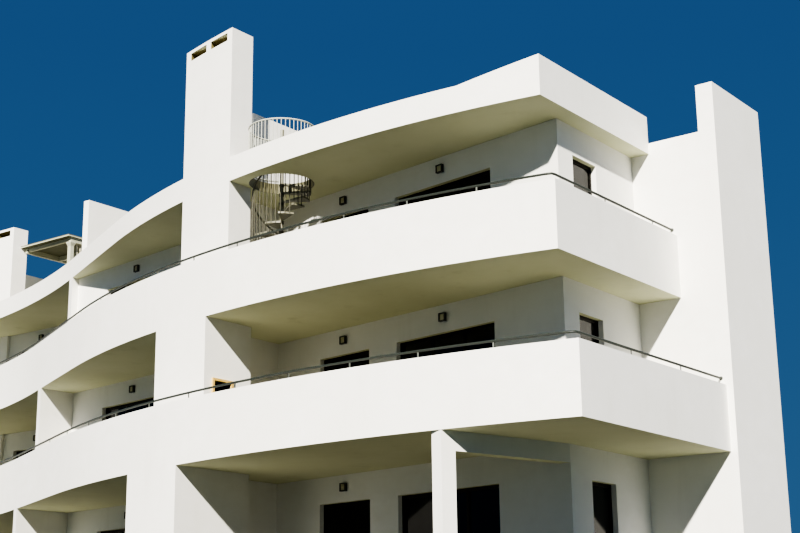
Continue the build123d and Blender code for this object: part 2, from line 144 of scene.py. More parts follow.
# masonry paint on a floated cement render: matt, with a sandy grain (2 mm in life, drawn at
# 14 mm to show) and splashed earth at the foot of the walls
def paintedRender():
    material, tree, shader, place = newMaterial("painted cement render", 0.86, ior=1.5)
    height = addNode(tree, "SeparateXYZ", sockets={"Vector": place}).outputs["Z"]
    lowest = {"Value": height, "From Min": 0.9, "From Max": 0.0}
    splash = addNode(tree, "MapRange", sockets=lowest).outputs["Result"]
    dirt = marks(tree, place, 300, 6, (0.3, 0.75), (0, 0.55), within=splash)
    tone = wallTone(tree, place)
    # faces that look down take the soffit's yellow-green tint, which is painted shade
    below = (facing(tree, -0.5, -0.9), soffitShadeTint(tree, place))
    for share, coat in ((dirt, "#A39C88"), below):
        tone = addNode(tree, "Mix", colourMix, {0: share, 6: tone, 7: coat}).outputs[2]
    floated = {"Height": marks(tree, place, 520, 4), "Distance": 0.006, "Strength": 0.5}
    under = addNode(tree, "Bump", sockets=floated).outputs["Normal"]
    grain = marks(tree, place, 14, 3)
    sandy = {"Height": grain, "Distance": 0.0012, "Strength": 0.6, "Normal": under}
    relief = addNode(tree, "Bump", sockets=sandy)
    tree.links.new(tone, shader.inputs["Base Color"])
    tree.links.new(relief.outputs["Normal"], shader.inputs["Normal"])
    return material


# floor plates: painted render on the edges, that render with its yellow-green painted shade below, and
# on top matt cement or clay tiles of 300 mm, laid to the building's own lines, with 4 mm joints (drawn
# at 8 mm) and a 2 mm grain (drawn at 16 mm)
def platePaint(name, above, joints):
    material, tree, shader, place = newMaterial(name, 0.82, ior=1.5)
    laid = {
        "Vector": place,
        "Color1": above[0],
        "Color2": above[1],
        "Mortar": joints,
        "Scale": 1,
        "Mortar Size": 0.008,
        "Brick Width": 0.3,
        "Row Height": 0.3,
    }
    tiles = addNode(tree, "TexBrick", {"offset": 0.0}, laid).outputs
    stains = marks(tree, place, 900, 6, (0.45, 0.8), (0, 0.5))
    upward = facing(tree, 0.5, 0.9)
    stained = addNode(tree, "Mix", colourMix, {0: stains, 6: tiles["Color"], 7: joints}).outputs[2]
    tone = wallTone(tree, place)
    # faces that look down take the soffit's yellow-green tint, which is painted shade
    below = (facing(tree, -0.5, -0.9), soffitShadeTint(tree, place))
    for share, coat in ((upward, stained), below):
        tone = addNode(tree, "Mix", colourMix, {0: share, 6: tone, 7: coat}).outputs[2]
    flat = addNode(tree, "Math", {"operation": "MULTIPLY"}, {0: upward, 1: tiles["Fac"]})
    sunk = addNode(tree, "Math", {"operation": "SUBTRACT"}, {0: 1.0, 1: flat.outputs["Value"]})
    sandy = {"Height": marks(tree, place, 16, 3), "Distance": 0.001, "Strength": 0.5}
    under = addNode(tree, "Bump", sockets=sandy).outputs["Normal"]
    jointed = {"Height": sunk.outputs["Value"], "Distance": 0.003, "Strength": 0.7, "Normal": under}
    relief = addNode(tree, "Bump", sockets=jointed)
    tree.links.new(tone, shader.inputs["Base Color"])
    tree.links.new(relief.outputs["Normal"], shader.inputs["Normal"])
    return material


# a plain finish of two tones in patches: their size in millimetres, detail and limits, and a
# relief's size, detail, depth and strength
def twoToned(name, roughness, tones, patches, relief=None, **kind):
    material, tree, shader, place = newMaterial(name, roughness, **kind)
    share = marks(tree, place, *patches)
    mixed = addNode(tree, "Mix", colourMix, {0: share, 6: tones[0], 7: tones[1]})
    tree.links.new(mixed.outputs[2], shader.inputs["Base Color"])
    if relief:
        size, detail, depth, strength = relief
        height = marks(tree, place, size, detail)
        raised = {"Height": height, "Distance": depth, "Strength": strength}
        bump = addNode(tree, "Bump", sockets=raised)
        tree.links.new(bump.outputs["Normal"], shader.inputs["Normal"])
    return material, shader


# bronze-anodised aluminium: drawn sections, dark and satin, with die lines along their length
# (under 1 mm apart in life, drawn at 9 mm to show)
def anodisedFrame():
    material, tree, shader, place = newMaterial("bronze anodised aluminium", 0.38, 0.9)
    upright = (1, 1, 30)
    lines = marks(tree, place, 9, 2, (0.3, 0.7), stretch=upright)
    mixed = addNode(tree, "Mix", colourMix, {0: lines, 6: "#1F1C18", 7: "#171512"})
    height = marks(tree, place, 9, 2, stretch=upright)
    drawn = addNode(tree, "Bump", sockets={"Height": height, "Distance": 0.0003, "Strength": 0.3})
    tree.links.new(mixed.outputs[2], shader.inputs["Base Color"])
    tree.links.new(drawn.outputs["Normal"], shader.inputs["Normal"])
    return material


# grey solar-control float glass: near black from outside, with the slow roll of toughened sheets
def tintedGlass():
    dust = (600, 6, (0.5, 0.9), (0, 0.12))
    tones, roll = ("#0B0D0C", "#4A4A44"), (850, 1, 0.004, 0.25)
    material, shader = twoToned("grey tinted glass", 0.05, tones, dust, roll, ior=1.52)
    shader.inputs["Specular IOR Level"].default_value = 0.25
    return material


# gloss paint on steel: chalked by sun, so half matt, with brush marks (1 mm in life, drawn at
# 12 mm) and faded patches a hand across
def paintedSteel(name, first, second, roughness):
    brushed = (60, 5, (0.35, 0.7))
    return twoToned(name, roughness, (first, second), brushed, (12, 3, 0.0004, 0.4), ior=1.5)[0]


# hot-dip galvanised flat bar: dull grey zinc with a faint spangle some 12 mm across
def galvanisedSteel():
    tones, spangle = ("#8B8E87", "#747770"), (12, 2, (0.35, 0.65))
    return twoToned("galvanised steel", 0.5, tones, spangle, (30, 3, 0.0003, 0.3), metallic=0.85)[0]


# opal glass of a bulkhead lamp: smooth, milky, slightly yellowed in clouds
def opalGlass():
    haze = (80, 3, (0.3, 0.7))
    material, shader = twoToned("opal lamp glass", 0.2, ("#C2BD9E", "#ABA684"), haze, ior=1.52)
    shader.inputs["Subsurface Weight"].default_value = 0.1
    return material


# firebrick: ochre, sandy and matt, with dark specks of iron (3 mm in life, drawn at 10 mm)
def firebrick():
    material, tree, shader, place = newMaterial("ochre firebrick", 0.9, ior=1.5)
    patches = marks(tree, place, 120, 5, (0.3, 0.7))
    specks = marks(tree, place, 10, 2, (0.66, 0.74))
    tone = "#D3B56C"
    for share, coat in ((patches, "#C3A152"), (specks, "#7A5B33")):
        tone = addNode(tree, "Mix", colourMix, {0: share, 6: tone, 7: coat}).outputs[2]
    sandy = {"Height": marks(tree, place, 8, 3), "Distance": 0.001, "Strength": 0.6}
    relief = addNode(tree, "Bump", sockets=sandy)
    tree.links.new(tone, shader.inputs["Base Color"])
    tree.links.new(relief.outputs["Normal"], shader.inputs["Normal"])
    return material


# firebrick inside a hearth: courses of 65 mm with sunk joints, under a matt coat of soot
def sootedBrick():
    material, tree, shader, place = newMaterial("sooted firebrick", 0.95, ior=1.5)
    upright = {"Rotation": (math.radians(90), 0, 0), "Vector": place}
    laid = {
        "Vector": addNode(tree, "Mapping", sockets=upright).outputs["Vector"],
        "Color1": "#171411",
        "Color2": "#100E0C",
        "Mortar": "#262019",
        "Scale": 1,
        "Mortar Size": 0.005,
        "Brick Width": 0.22,
        "Row Height": 0.065,
    }
    courses = addNode(tree, "TexBrick", sockets=laid).outputs
    ash = marks(tree, place, 150, 5, (0.55, 0.85), (0, 0.4))
    mixed = addNode(tree, "Mix", colourMix, {0: ash, 6: courses["Color"], 7: "#34302A"})
    sunk = {"Height": courses["Fac"], "Distance": 0.003, "Strength": -0.6}
    relief = addNode(tree, "Bump", sockets=sunk)
    tree.links.new(mixed.outputs[2], shader.inputs["Base Color"])
    tree.links.new(relief.outputs["Normal"], shader.inputs["Normal"])
    return material


# render inside the flue heads: yellow-brown as painted shade of the slots, darker in patches, and with
# the walls' sandy grain, drawn as coarse
def flueShadeRender():
    tones, smoke = ("#8A8154", "#5C5334"), (260, 5, (0.3, 0.7))
    return twoToned("cement render painted as shaded", 0.92, tones, smoke, (14, 3, 0.001, 0.6), ior=1.5)[0]


# timber, painted or bare: matt, with grain along its length (3 mm wide in life, drawn at 26 mm)
# and worn patches
def timber(name, first, second, grainAlong, roughness, wornTone):
    material, tree, shader, place = newMaterial(name, roughness, ior=1.5)
    along = tuple(14 if axis == grainAlong else 1 for axis in "XYZ")
    grain = marks(tree, place, 26, 6, (0.3, 0.7), stretch=along)
    worn = marks(tree, place, 340, 6, (0.55, 0.85), (0, 0.7))
    tone = first
    for share, coat in ((grain, second), (worn, wornTone)):
        tone = addNode(tree, "Mix", colourMix, {0: share, 6: tone, 7: coat}).outputs[2]
    height = marks(tree, place, 26, 6, stretch=along)
    relief = addNode(tree, "Bump", sockets={"Height": height, "Distance": 0.001, "Strength": 0.6})
    tree.links.new(tone, shader.inputs["Base Color"])
    tree.links.new(relief.outputs["Normal"], shader.inputs["Normal"])
    return material


finishes = {
    "white_render": paintedRender(),
    "rendered_slab": platePaint("tiled floor plate", ("#6F684A", "#656042"), "#504B36"),
    "window_frame": anodisedFrame(),
    "window_glass": tintedGlass(),
    "handrail_steel": paintedSteel("dark green painted steel", "#2B312B", "#232823", 0.45),
    # the stair's steel is a darker copy of the roof railing's white paint: painted shade
    "stair_steel": paintedSteel("grey steel painted as shaded", "#7C7B69", "#6B6A59", 0.5),
    "lamp_housing": paintedSteel("black painted casting", "#1B1B19", "#26251F", 0.5),
    "hearth_firebrick": firebrick(),
    "pergola_paint": timber("painted pergola timber", "#BDBEAB", "#ABAC98", "Y", 0.65, "#888A72"),
    "pergola_sheet": timber("weathered roof boards", "#A49C86", "#8E866F", "X", 0.85, "#6F684F"),
    "pergola_timber": timber("grey slats", "#C4BEA9", "#B0AA94", "Z", 0.85, "#857F69"),
}
roofFinish = platePaint("tiled roof terrace", ("#98937F", "#8B8673"), "#736F5E")
terraceFinish = platePaint("clay tiled terrace", ("#4E4834", "#464130"), "#3A3628")
boarding = timber("olive painted boarding", "#66674F", "#585943", "X", 0.75, "#43442F")
# one real paint in two copies: pale for the roof railing, as painted light, and dark olive for the
# stair's balusters and rail, as painted shade
sunlitWellPaint = paintedSteel("white steel painted as sunlit", "#B9BAAF", "#A8A99D", 0.5)
shadedBalusterPaint = paintedSteel("olive steel painted as shaded", "#4C4B3C", "#414033", 0.55)
# dark olive so that the well's sunlit rim reads as shade: painted shade
hoopShadePaint = paintedSteel("olive painted steel", "#6C6A50", "#5F5D45", 0.6)
opal = opalGlass()
# the flue slots' yellow-brown lining is painted shade
flueShadeLining = flueShadeRender()
soot = sootedBrick()
galvanised = galvanisedSteel()
print("stage: materials")

platesApart = {"roof_slab": roofFinish, "ground_slab": terraceFinish}
for part in frame["record"]["subparts"]:
    finish = platesApart.get(part["node"], finishes[part["material_slot"]])
    mesh = nodes[part["node"]].data
    mesh.materials.clear()
    mesh.materials.append(finish)
print("stage: CAD nodes dressed")


# plan and heights that the added pieces share with the building, in metres and degrees
plan = {
    "bulgeRadius": 23.61,
    "bulgeFront": -8.33,
    "hollowRadius": 24.48,
    "straightRun": 3.56,
    "waveAngle": 24.6,
    "bulgeMiddle": (8.505, 8.505, 7.715, 8.075),
    "setBack": (0.0, 0.0, 0.815, 1.41),
    "bandRight": (13.025, 13.025, 12.225, 11.725),
    "leftEnd": -13.155,
    "blockFront": -2.57,
    "slab": 0.22,
    "gable": 11.335,
    "frontCorner": -5.43,
    "frontAngle": 8.0,
    "leftFront": 0.05,
}
clearHeight = storeyHeight - plan["slab"]


def floorTop(level):
    return baseHeight + level * storeyHeight


def soffitOf(level):
    return floorTop(level) - plan["slab"]


# points along one level's wave, moved back by an inset, from its right-hand end to its left
def wavePoints(level, inset, step=0.25):
    angle = math.radians(plan["waveAngle"])
    radius = plan["bulgeRadius"] - plan["setBack"][level] - inset
    middle = Vector((plan["bulgeMiddle"][level], plan["bulgeFront"] + plan["bulgeRadius"]))
    first = math.asin((plan["bandRight"][level] - inset - middle.x) / radius)
    turns = math.ceil((first + angle) * radius / step)
    points = []
    for n in range(turns + 1):
        turn = first - (first + angle) * n / turns
        points.append(middle + Vector((math.sin(turn), -math.cos(turn))) * radius)
    start = points[-1]
    run = Vector((-math.cos(angle), math.sin(angle))) * plan["straightRun"]
    paces = math.ceil(plan["straightRun"] / step)
    points += [start + run * n / paces for n in range(1, paces + 1)]
    hollow = plan["hollowRadius"] + plan["setBack"][level] + inset
    centre = points[-1] - Vector((math.sin(angle), math.cos(angle))) * hollow
    begin = math.radians(90) - angle
    last = math.acos((plan["leftEnd"] - centre.x) / hollow)
    turns = math.ceil((last - begin) * hollow / step)
    for n in range(1, turns + 1):
        turn = begin + (last - begin) * n / turns
        points.append(centre + Vector((math.cos(turn), math.sin(turn))) * hollow)
    return points


# the place at a distance along a run of points, and the direction there
def placeAlong(points, distance):
    for first, second in zip(points, points[1:]):
        length = (second - first).length
        if distance <= length:
            return first.lerp(second, distance / length), (second - first).normalized()
        distance -= length
    return points[-1], (points[-1] - points[-2]).normalized()


# a frame on a wall: x along it, y up and z out of its face, which is turned from the front
def wallFrame(place, turn):
    turned = Matrix.Rotation(math.radians(turn), 4, "Z") @ Matrix.Rotation(math.radians(90), 4, "X")
    return Matrix.Translation(place) @ turned


def addBox(shape, at, low, high):
    middle = [(a + b) / 2 for a, b in zip(low, high)]
    size = [b - a for a, b in zip(low, high)]
    place = at @ Matrix.Translation(middle) @ Matrix.Diagonal((*size, 1))
    bmesh.ops.create_cube(shape, size=1, matrix=place)


def addBar(shape, foot, top, diameter, sides=12, topDiameter=None):
    foot, top = Vector(foot), Vector(top)
    turned = (top - foot).to_track_quat("Z", "Y").to_matrix().to_4x4()
    bmesh.ops.create_cone(
        shape,
        cap_ends=True,
        segments=sides,
        radius1=diameter / 2,
        radius2=(topDiameter or diameter) / 2,
        depth=(top - foot).length,
        matrix=Matrix.Translation((foot + top) / 2) @ turned,
    )


# a round tube along one or more runs of points
def tubeAlong(name, runs, diameter):
    data = bpy.data.curves.new(name, "CURVE")
    data.dimensions = "3D"
    data.bevel_depth = diameter / 2
    data.bevel_resolution = 4
    data.use_fill_caps = True
    for run in runs:
        spline = data.splines.new("POLY")
        spline.points.add(len(run) - 1)
        for point, place in zip(spline.points, run):
            point.co = (*place, 1)
    return data


# every added piece is dressed, carried by the building, and stands for the nodes it betters
def addPiece(name, data, finish, instead=(), eased=0.0):
    if isinstance(data, bmesh.types.BMesh):
        mesh = bpy.data.meshes.new(name)
        bmesh.ops.recalc_face_normals(data, faces=data.faces)
        data.to_mesh(mesh)
        data.free()
        mesh.shade_smooth()
        mesh.set_sharp_from_angle(angle=math.radians(40))
        data = mesh
    piece = bpy.data.objects.new(name, data)
    scene.collection.objects.link(piece)
    data.materials.append(finish)
    if eased:
        bevel = piece.modifiers.new("eased edges", "BEVEL")
        bevel.width = eased
        bevel.segments = 2
        bevel.harden_normals = True
    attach(piece, "root")
    if instead:
        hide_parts(*instead)


# a 44 mm tube reads as the rail in the photograph
handrail = {
    "tube": 0.044,
    "rise": 0.13,
    "parapetHeight": 1.23,
    "parapetThickness": 0.2,
    "postSpacing": 1.415,
    "returnSpacing": 1.8,
    "post": (0.03, 0.01),
    "plate": (0.075, 0.05, 0.006),
    "boltHead": (0.012, 0.006),
    "boltPlace": 0.35,
    "wallPlate": (0.075, 0.008),
    "cornerBend": 0.09,
    "cornerPull": 0.62,
    "leftGap": 0.012,
}


# a tube on short flat posts, each welded to a bolted plate, along a parapet and its return
def makeHandrail(level, node):
    inset = handrail["parapetThickness"] / 2
    top = soffitOf(level) + handrail["parapetHeight"]
    wave = wavePoints(level, inset)
    corner = wave[0]
    wall = Vector((corner.x, plan["blockFront"]))
    bend, pull = handrail["cornerBend"], handrail["cornerPull"]
    before, _ = placeAlong([corner, wall], bend)
    after, _ = placeAlong(wave, bend)
    eased = before.lerp(corner, pull).lerp(after.lerp(corner, pull), 0.5)
    path = [wall, before, eased, after] + [at for at in wave[1:] if (at - corner).length > bend]
    path[-1] += (path[-2] - path[-1]).normalized() * handrail["leftGap"]
    run = [(at.x, at.y, top + handrail["rise"]) for at in path]
    name = node.replace("handrail", "rail")
    tube = tubeAlong(name + "_tube", [run], handrail["tube"])
    addPiece(name + "_tube", tube, finishes["handrail_steel"], [node])
    shape = bmesh.new()
    length = sum((b - a).length for a, b in zip(wave, wave[1:]))
    spacing = handrail["postSpacing"]
    spots = [placeAlong(wave, spacing * n) for n in range(1, int(length / spacing) + 1)]
    spacing = handrail["returnSpacing"]
    length = (wall - corner).length
    spots += [placeAlong([corner, wall], spacing * n) for n in range(1, int(length / spacing) + 1)]
    wide, thin = handrail["post"]
    long, broad, thick = handrail["plate"]
    head, proud = handrail["boltHead"]
    for place, along in spots:
        turned = Matrix.Rotation(math.atan2(along.y, along.x), 4, "Z")
        at = Matrix.Translation((place.x, place.y, top)) @ turned
        addBox(shape, at, (-wide / 2, -thin / 2, 0), (wide / 2, thin / 2, handrail["rise"]))
        addBox(shape, at, (-long / 2, -broad / 2, 0), (long / 2, broad / 2, thick))
        for side in (-1, 1):
            foot = at @ Vector((side * long * handrail["boltPlace"], 0, thick))
            addBar(shape, foot, foot + Vector((0, 0, proud)), head, 6)
    end = Vector((wall.x, wall.y, top + handrail["rise"]))
    across, thick = handrail["wallPlate"]
    addBar(shape, end - Vector((0, thick, 0)), end, across, 24)
    addPiece(name + "_posts", shape, galvanised, [node], 0.0015)


makeHandrail(1, "first_handrail")
makeHandrail(2, "second_handrail")
print("stage: handrails")

stair = {
    "x": 4.87,
    "y": -5.74,
    "radius": 0.64,
    "risers": 15,
    "turn": 27.0,
    "start": 62.0,
    "treadThickness": 0.04,
    "margin": 0.045,
    "perTread": 3,
    "baluster": 0.018,
    "rail": 0.036,
    "railHeight": 1.09,
    "railPoints": 6,
    "sleeve": (0.115, 0.092, 0.06),
    "wellMargin": 0.04,
    "wellRailHeight": 0.97,
    "wellFoot": 0.06,
    "wellStart": 135.0,
    "wellTurn": 300.0,
    "wellBars": 42,
    "railInset": 2.0,
    "railStep": 3.7,
    "railEnds": ((0.6, 0.012), (1.6, 0.045), (2.0, 0.09)),
    "hoop": 0.004,
    "hoopGap": 0.001,
    "hoopSides": 72,
}
stairRiser = storeyHeight / stair["risers"]


def roundStair(radius, turn, height):
    angle = math.radians(turn)
    return Vector((stair["x"] + radius * math.cos(angle), stair["y"] + radius * math.sin(angle), height))


# round balusters under a winding rail, and a welded sleeve under each tread
def makeStairRailing():
    radius = stair["radius"] - stair["margin"] + stair["baluster"] / 2
    foot = floorTop(2)
    bars = stair["perTread"] * (stair["risers"] - 1)
    shape = bmesh.new()
    for index in range(bars):
        share = index / stair["perTread"]
        middle = share + 0.5 / stair["perTread"]
        turn = stair["start"] + middle * stair["turn"]
        low = foot + (int(share) + 1) * stairRiser - stair["treadThickness"]
        high = foot + (middle + 1) * stairRiser + stair["railHeight"]
        addBar(shape, roundStair(radius, turn, low), roundStair(radius, turn, high), stair["baluster"])
    upper, lower, tall = stair["sleeve"]
    for step in range(1, stair["risers"]):
        under = Vector((stair["x"], stair["y"], foot + step * stairRiser - stair["treadThickness"]))
        addBar(shape, under - Vector((0, 0, tall)), under, lower, 24, upper)
    addPiece("stair_balusters", shape, shadedBalusterPaint, ["stair_railing"])
    steps = stair["railPoints"] * bars
    run = []
    for n in range(steps + 1):
        middle = 0.5 / stair["perTread"] + (bars - 1) / stair["perTread"] * n / steps
        height = foot + (middle + 1) * stairRiser + stair["railHeight"]
        run.append(roundStair(radius, stair["start"] + middle * stair["turn"], height))
    rail = tubeAlong("stair_rail", [run], stair["rail"])
    addPiece("stair_rail", rail, shadedBalusterPaint, ["stair_railing"])


# round bars between two hooped rails, whose upper one turns down at each end
def makeWellRailing():
    radius = stair["radius"] + stair["wellMargin"] + stair["baluster"]
    shape = bmesh.new()
    for index in range(stair["wellBars"]):
        turn = stair["wellStart"] + (index + 0.5) * stair["wellTurn"] / stair["wellBars"]
        foot = roundStair(radius, turn, roofTop)
        addBar(shape, foot, foot + Vector((0, 0, stair["wellRailHeight"])), stair["baluster"])
    addPiece("well_balusters", shape, sunlitWellPaint, ["well_railing"])
    begin = stair["wellStart"] + stair["railInset"]
    sweep = stair["wellTurn"] - 2 * stair["railInset"]
    turns = [begin + n * stair["railStep"] for n in range(round(sweep / stair["railStep"]) + 1)]
    level = roofTop + stair["wellRailHeight"]
    lower = [roundStair(radius, turn, roofTop + stair["wellFoot"]) for turn in turns]
    upper = [roundStair(radius, turn, level) for turn in turns]
    for on, down in stair["railEnds"]:
        upper.insert(0, roundStair(radius, begin - on, level - down))
        upper.append(roundStair(radius, begin + sweep + on, level - down))
    rails = tubeAlong("well_rails", [lower, upper], stair["rail"])
    addPiece("well_rails", rails, sunlitWellPaint, ["well_railing"])


# a thin steel hoop that lines the round hole in the roof plate, dark olive so that the sunlit rim reads
# as shade: painted shade
def makeWellLining():
    gap, sides = stair["hoopGap"], stair["hoopSides"]
    low, high = soffitOf(3) + gap, roofTop - gap
    outer = stair["radius"] + stair["wellMargin"] - gap
    inner = outer - stair["hoop"]
    shape = bmesh.new()
    rings = []
    for radius, height in ((outer, low), (outer, high), (inner, high), (inner, low)):
        turns = [n * 360 / sides for n in range(sides)]
        rings.append([shape.verts.new(roundStair(radius, turn, height)) for turn in turns])
    for first, second in zip(rings, rings[1:] + rings[:1]):
        for n in range(-1, sides - 1):
            shape.faces.new((first[n], first[n + 1], second[n + 1], second[n]))
    addPiece("well_shade_lining", shape, hoopShadePaint)


makeStairRailing()
makeWellRailing()
makeWellLining()
print("stage: spiral stair")

openings = {
    "doorHeight": 2.24,
    "doorWidths": ((2.58, 1.47), (2.58, 1.47), (2.06, 1.47)),
    "doorPlaces": ((8.42, 5.635), (-1.785, 1.42), (-9.82, -6.54)),
    "gableSize": (0.86, 1.4),
    "gableHead": 2.21,
    "gablePlaces": (-4.28, -4.47, -4.47),
    "rearWidths": (1.4, 0.7, 1.4),
    "rearHeight": 1.3,
    "rearSill": 0.98,
    "rearPlaces": ((9.6, 7.45, 5.3), (1.3, -0.8, -2.9), (-6.5, -8.8, -11.1)),
    "rearFaces": (3.73, 5.03, 8.33),
    "paneWidth": 1.32,
    "bar": 0.055,
    "setback": 0.105,
    "depth": 0.07,
    "glass": 0.024,
    "bead": (0.014, 0.016),
    "beadGap": 0.0005,
    "handle": (0.016, 0.26),
    "handleHeight": 1.02,
    "handleReach": 0.034,
    "handleStubs": (0.15, 0.85),
    "stubShare": 0.7,
    "tracks": (0.3, 0.62),
    "track": (0.008, 0.012),
    "sillRise": 0.022,
    "sillGaps": (0.001, 0.002),
}


# every opening of a storey: what it is, its frame on the wall's face, its width and height
def openingsOf(level):
    base = floorTop(level)
    slope = math.tan(math.radians(plan["frontAngle"]))
    found = []
    for flat, places in enumerate(openings["doorPlaces"]):
        for x, width in zip(places, openings["doorWidths"][flat]):
            y = plan["leftFront"] if flat == 2 else plan["frontCorner"] + (plan["gable"] - x) * slope
            turn = 0 if flat == 2 else -plan["frontAngle"]
            found.append(("door", wallFrame((x, y, base), turn), width, openings["doorHeight"]))
    for places, face in zip(openings["rearPlaces"], openings["rearFaces"]):
        for x, width in zip(places, openings["rearWidths"]):
            at = wallFrame((x, face, base + openings["rearSill"]), 180)
            found.append(("window", at, width, openings["rearHeight"]))
    width, height = openings["gableSize"]
    foot = base + openings["gableHead"] - height
    at = wallFrame((plan["gable"], openings["gablePlaces"][level], foot), 90)
    return found + [("window", at, width, height)]


# beads round the panes, tracks and pulls on the sliding doors, rendered sills under the windows
def makeOpeningTrim(level, storey):
    beads, slides, sills = bmesh.new(), bmesh.new(), bmesh.new()
    bar, face = openings["bar"], -openings["setback"]
    glassFace = face - (openings["depth"] - openings["glass"]) / 2
    thick, deep = openings["bead"]
    size, tall = openings["handle"]
    trackWide, trackTall = openings["track"]
    for kind, at, width, height in openingsOf(level):
        panes = max(1, round(width / openings["paneWidth"]) + (kind == "door"))
        pitch = (width - bar) / panes
        for pane in range(panes):
            left = -width / 2 + bar + pitch * pane
            right = left + pitch - bar
            low, high = bar, height - bar
            back, front = glassFace + openings["beadGap"], glassFace + deep
            addBox(beads, at, (left, low, back), (left + thick, high, front))
            addBox(beads, at, (right - thick, low, back), (right, high, front))
            addBox(beads, at, (left + thick, low, back), (right - thick, low + thick, front))
            addBox(beads, at, (left + thick, high - thick, back), (right - thick, high, front))
        if kind == "door":
            for track in openings["tracks"]:
                near, far = face * track - trackWide / 2, face * track + trackWide / 2
                addBox(slides, at, (-width / 2, 0, near), (width / 2, trackTall, far))
            across = -width / 2 + bar / 2 + pitch
            foot, grip = openings["handleHeight"] - tall / 2, face + openings["handleReach"]
            low, high = Vector((across, foot, grip)), Vector((across, foot + tall, grip))
            addBar(slides, at @ low, at @ high, size)
            for share in openings["handleStubs"]:
                near = Vector((across, foot + tall * share, face))
                far = Vector((across, foot + tall * share, grip))
                addBar(slides, at @ near, at @ far, size * openings["stubShare"])
        else:
            back, front = openings["sillGaps"]
            rise = openings["sillRise"]
            addBox(sills, at, (-width / 2, 0, face + back), (width / 2, rise, -front))
    finish, slotName = finishes["window_frame"], "window_frame"
    addPiece(f"glazing_beads_{storey}", beads, finish, eased=0.003)
    addPiece(f"door_slides_{storey}", slides, finish, eased=0.0015)
    addPiece(f"window_sills_{storey}", sills, finishes["white_render"], eased=0.006)


for level, storey in enumerate(storeyNames):
    makeOpeningTrim(level, storey)
print("stage: doors and windows")

lamp = {
    "size": 0.165,
    "back": 0.045,
    "depth": 0.068,
    "glass": 0.122,
    "paneGap": 0.001,
    "crown": 0.014,
    "drop": 0.25,
}


# a cast square housing with a deep rim, and a crowned opal pane in it
def makeLamps():
    housing, panes = bmesh.new(), bmesh.new()
    half, hole = lamp["size"] / 2, lamp["glass"] / 2
    for level in range(len(storeyNames)):
        for kind, at, width, height in openingsOf(level):
            if kind != "door":
                continue
            at = at @ Matrix.Translation((0, clearHeight - lamp["drop"], 0))
            back, front = lamp["back"], lamp["depth"]
            addBox(housing, at, (-half, -half, 0), (half, half, back))
            addBox(housing, at, (-half, hole, back), (half, half, front))
            addBox(housing, at, (-half, -half, back), (half, -hole, front))
            addBox(housing, at, (-half, -hole, back), (-hole, hole, front))
            addBox(housing, at, (hole, -hole, back), (half, hole, front))
            made = bmesh.ops.create_grid(panes, x_segments=8, y_segments=8, size=hole)
            for vert in made["verts"]:
                across, up = vert.co.x / hole, vert.co.y / hole
                crown = lamp["crown"] * (1 - across**4) * (1 - up**4)
                vert.co.z = back + lamp["paneGap"] + crown
            bmesh.ops.transform(panes, matrix=at, verts=made["verts"])
    finish = finishes["lamp_housing"]
    addPiece("lamp_housings", housing, finish, ["wall_lamps"], 0.004)
    addPiece("lamp_panes", panes, opal, ["wall_lamps"])


makeLamps()
print("stage: lamps")

hearth = {
    "face": 4.245,
    "middle": -6.745,
    "foot": 0.97,
    "size": (0.48, 0.56),
    "depth": 0.5,
    "lining": 0.012,
    "liningGap": 0.001,
    "bars": 7,
    "bar": 0.014,
    "barHeight": 0.07,
    "barEnds": (0.06, 0.08),
    "spread": 0.8,
    "crossHeight": 0.058,
    "crossEnds": (0.08, 0.1),
}


# a lining of sooted brick in the opening, with an iron grate across its foot
def makeHearth():
    at = wallFrame((hearth["face"], hearth["middle"], floorTop(1) + hearth["foot"]), 90)
    wide, tall = hearth["size"]
    deep, thick, gap = -hearth["depth"], hearth["lining"], hearth["liningGap"]
    half = wide / 2 - gap
    inner, head = half - thick, tall - gap
    lining = bmesh.new()
    addBox(lining, at, (-half, gap, deep + gap), (half, head, deep + thick))
    addBox(lining, at, (-half, gap, deep + thick), (-inner, head, -gap))
    addBox(lining, at, (inner, gap, deep + thick), (half, head, -gap))
    addBox(lining, at, (-inner, gap, deep + thick), (inner, gap + thick, -gap))
    addBox(lining, at, (-inner, head - thick, deep + thick), (inner, head, -gap))
    addPiece("hearth_lining", lining, soot)
    grate = bmesh.new()
    reach, up = half * hearth["spread"], hearth["barHeight"]
    front, back = hearth["barEnds"]
    for n in range(hearth["bars"]):
        across = -reach + 2 * reach * n / (hearth["bars"] - 1)
        near, far = Vector((across, up, -front)), Vector((across, up, deep + back))
        addBar(grate, at @ near, at @ far, hearth["bar"])
    front, back = hearth["crossEnds"]
    up = hearth["crossHeight"]
    for depth in (-front, deep + back):
        near, far = Vector((-inner, up, depth)), Vector((inner, up, depth))
        addBar(grate, at @ near, at @ far, hearth["bar"])
    addPiece("hearth_grate", grate, finishes["lamp_housing"])


makeHearth()
print("stage: hearth")

pergola = {
    "left": -11.325,
    "right": -9.08,
    "front": 0.33,
    "depth": 2.7,
    "height": 2.45,
    "post": 0.135,
    "capital": 0.21,
    "capitalHeight": 0.13,
    "capitalPlate": 0.035,
    "beam": (0.1, 0.15),
    "frontBeam": (0.04, 0.05),
    "boards": 17,
    "gap": 0.004,
    "boardThickness": 0.024,
    "sheet": 0.006,
    "sheetDrop": 0.018,
    "fascia": 0.022,
    "capping": 0.024,
    "ribs": 6,
    "rib": 0.024,
}


